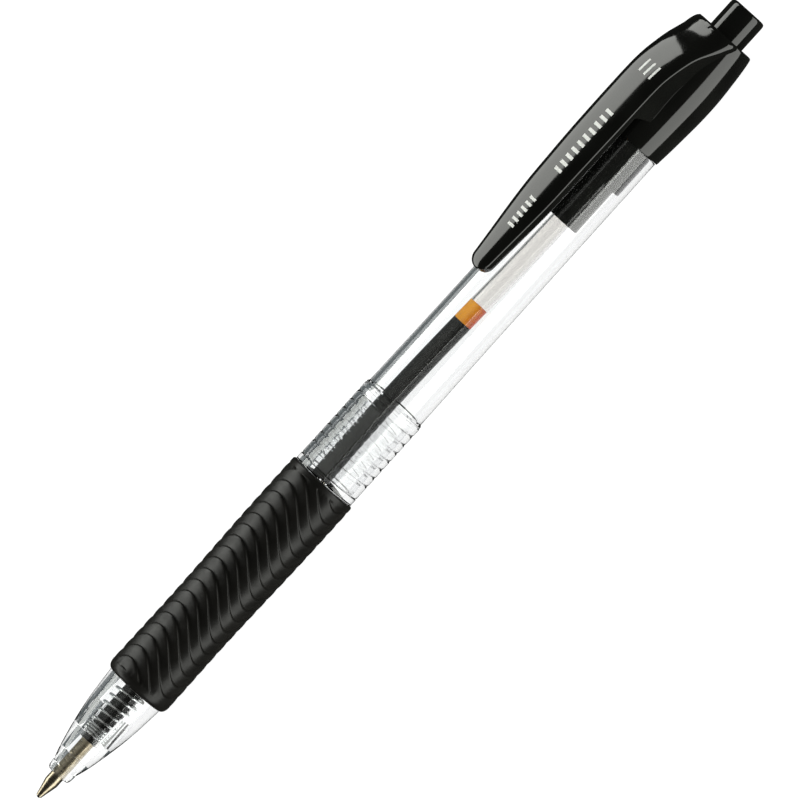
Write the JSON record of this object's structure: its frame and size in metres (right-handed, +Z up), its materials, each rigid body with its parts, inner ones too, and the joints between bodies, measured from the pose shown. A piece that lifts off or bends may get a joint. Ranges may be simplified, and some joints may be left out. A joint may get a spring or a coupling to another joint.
{
  "type": "retractable gel pen",
  "caption": "Clear retractable gel pen with a black rubber grip, sprung clip, end cap and push button, and a sliding refill with its return spring.",
  "frame": {"origin": "centre of the bounding box in X and Y, at the lowest point of the grip, on which the pen lies", "axes": "+X along the pen from the writing tip to the push button, +Z up through the clip, +Y completes a right-handed frame"},
  "size_m": [0.145, 0.0106, 0.0135],
  "materials": {
    "clear_barrel": "clear polished polystyrene",
    "black_plastic": "gloss black moulded plastic",
    "grip_rubber": "matte black rubber with lapped wavy grooves",
    "spring_steel": "bright drawn wire",
    "refill_plastic": "translucent thin-walled tube",
    "black_ink": "black gel ink, wet",
    "amber_grease": "amber translucent grease",
    "nickel_silver": "turned nickel silver, fine machining",
    "carbide": "polished carbide"
  },
  "bodies": {
    "barrel": {"upper_barrel": "clear_barrel", "cap_shell": "black_plastic"},
    "clip": {"clip": "black_plastic"},
    "button": {"push_button": "black_plastic"},
    "rotor": {"rotor": "black_plastic"},
    "spring": {"return_spring": "spring_steel"},
    "front_section": {"front_barrel": "clear_barrel", "grip_sleeve": "grip_rubber"},
    "refill": {"refill_tube": "refill_plastic", "ink_column": "black_ink", "follower_grease": "amber_grease", "metal_tip": "nickel_silver"},
    "ball": {"writing_ball": "carbide"}
  },
  "joints": [
    {"name": "clip_flex", "type": "hinge", "parent": "barrel", "child": "clip", "pos_m": [0.052, 0, 0.01213], "axis": [0, 1, 0], "range_deg": [0, 4], "stiffness_Nm_per_rad": 1},
    {"name": "button_slide", "type": "slide", "parent": "barrel", "child": "button", "axis": [1, 0, 0], "range_m": [-0.0015, 0.0055]},
    {"name": "rotor_turn", "type": "hinge", "parent": "button", "child": "rotor", "pos_m": [0.0375, 0, 0.00533], "axis": [1, 0, 0], "continuous": true},
    {"name": "front_advance", "type": "slide", "parent": "barrel", "child": "spring", "axis": [-1, 0, 0], "range_m": [0, 0.00918]},
    {"name": "front_turn", "type": "hinge", "parent": "spring", "child": "front_section", "pos_m": [-0.0325, 0, 0.00533], "axis": [-1, 0, 0], "range_deg": [0, 2160]},
    {"name": "refill_slide", "type": "slide", "parent": "spring", "child": "refill", "axis": [1, 0, 0], "range_m": [-0.0015, 0.0055], "deforming": ["return_spring"]},
    {"name": "ball_roll", "type": "hinge", "parent": "refill", "child": "ball", "pos_m": [-0.07215, 0, 0.00533], "axis": [1, 0, 0], "continuous": true}
  ],
  "couplings": [
    {"joint": "front_turn", "follows": "front_advance", "rad_per_m": 4106.7},
    {"joint": "refill_slide", "follows": "button_slide", "ratio": 1}
  ]
}
